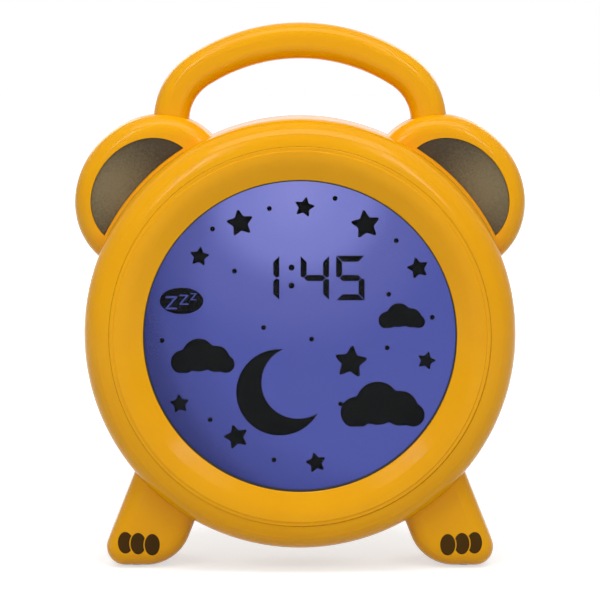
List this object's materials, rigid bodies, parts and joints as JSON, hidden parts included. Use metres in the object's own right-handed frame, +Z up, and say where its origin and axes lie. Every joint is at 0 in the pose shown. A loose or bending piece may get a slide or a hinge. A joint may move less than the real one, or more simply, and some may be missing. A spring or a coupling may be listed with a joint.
{
  "type": "kids alarm clock with night light",
  "caption": "Free-standing child's alarm clock: round case with ears, feet and a carrying handle, and a lit display in its face.",
  "frame": {"origin": "bottom centre of the box round the whole clock, on the surface it stands on", "axes": "+X to the right as seen from the front, +Y to the rear (the display faces -Y), +Z up"},
  "size_m": [0.156, 0.058, 0.1888],
  "materials": {
    "yellow_plastic": "satin moulded, warm yellow",
    "brown_plastic": "fine-textured brown",
    "toe_plastic": "satin dark brown",
    "grip_rubber": "matt",
    "clear_window": "clear gloss",
    "display_glass": "violet lit",
    "display_ink": "black",
    "diffuser_film": "frosted, lit violet",
    "white_plastic": "satin white",
    "circuit_board": "green solder mask",
    "led_package": "white with clear dome",
    "black_plastic": "black",
    "component_metal": "satin",
    "ribbon_film": "amber film",
    "plated_steel": "zinc plated",
    "speaker_paper": "black paper",
    "ferrite": "dark grey",
    "wire_sleeve": "red",
    "key_plastic": "soft cream",
    "nickel_plate": "nickel plated",
    "battery_wrap": "printed green and black sleeve"
  },
  "bodies": {
    "case": {"front_shell": "yellow_plastic", "rear_shell": "yellow_plastic", "bezel": "yellow_plastic", "handle": "yellow_plastic", "left_ear_pad": "brown_plastic", "right_ear_pad": "brown_plastic", "left_toe_pads": "toe_plastic", "right_toe_pads": "toe_plastic", "left_foot_grip": "grip_rubber", "right_foot_grip": "grip_rubber", "lens": "clear_window", "lcd_front_glass": "display_glass", "lcd_digits": "display_ink", "lcd_picture": "display_ink", "lcd_sleep_icon": "display_ink", "lcd_rear_glass": "display_glass", "diffuser": "diffuser_film", "backlight_tray": "white_plastic", "led_board": "circuit_board", "leds": "led_package", "main_board": "circuit_board", "processor_chip": "black_plastic", "board_parts": "component_metal", "lcd_ribbon": "ribbon_film", "speaker_basket": "plated_steel", "speaker_magnet": "ferrite", "speaker_wires": "wire_sleeve", "key_board": "circuit_board", "key_switches": "black_plastic", "power_socket": "black_plastic", "socket_pin": "nickel_plate", "socket_wires": "wire_sleeve", "battery_box": "yellow_plastic", "battery_contacts": "nickel_plate", "battery_springs": "nickel_plate", "battery_1": "battery_wrap", "battery_2": "battery_wrap", "battery_3": "battery_wrap", "battery_wires": "wire_sleeve", "case_screws": "plated_steel", "tray_screws": "plated_steel", "board_screws": "plated_steel", "key_board_screws": "plated_steel"},
    "plus_key_body": {"plus_key": "key_plastic"},
    "minus_key_body": {"minus_key": "key_plastic"},
    "volume_key_body": {"volume_key": "key_plastic"},
    "alarm_key_body": {"alarm_key": "key_plastic"},
    "sleep_key_body": {"sleep_key": "key_plastic"},
    "light_key_body": {"light_key": "key_plastic"},
    "door": {"battery_door": "yellow_plastic"},
    "captive_screw": {"door_screw": "plated_steel"},
    "cone": {"speaker_cone": "speaker_paper"}
  },
  "joints": [
    {"name": "plus_key_press", "type": "slide", "parent": "case", "child": "plus_key_body", "axis": [0, -1, 0], "range_m": [0, 0.0009], "stiffness_N_per_m": 400, "springref_m": -0.002},
    {"name": "minus_key_press", "type": "slide", "parent": "case", "child": "minus_key_body", "axis": [0, -1, 0], "range_m": [0, 0.0009], "stiffness_N_per_m": 400, "springref_m": -0.002},
    {"name": "volume_key_press", "type": "slide", "parent": "case", "child": "volume_key_body", "axis": [0, -1, 0], "range_m": [0, 0.0009], "stiffness_N_per_m": 400, "springref_m": -0.002},
    {"name": "alarm_key_press", "type": "slide", "parent": "case", "child": "alarm_key_body", "axis": [0, -1, 0], "range_m": [0, 0.0009], "stiffness_N_per_m": 400, "springref_m": -0.002},
    {"name": "sleep_key_press", "type": "slide", "parent": "case", "child": "sleep_key_body", "axis": [0, -1, 0], "range_m": [0, 0.0009], "stiffness_N_per_m": 400, "springref_m": -0.002},
    {"name": "light_key_press", "type": "slide", "parent": "case", "child": "light_key_body", "axis": [0, -1, 0], "range_m": [0, 0.0009], "stiffness_N_per_m": 400, "springref_m": -0.002},
    {"name": "battery_door_swing", "type": "hinge", "parent": "case", "child": "door", "pos_m": [0, 0.0278, 0.0835], "axis": [1, 0, 0], "range_deg": [0, 75]},
    {"name": "door_screw_turn", "type": "hinge", "parent": "door", "child": "captive_screw", "pos_m": [0, 0.0278, 0.0409], "axis": [0, 1, 0], "continuous": true},
    {"name": "speaker_cone_travel", "type": "slide", "parent": "case", "child": "cone", "axis": [0, 1, 0], "range_m": [-0.0005, 0.0005], "stiffness_N_per_m": 1500}
  ]
}
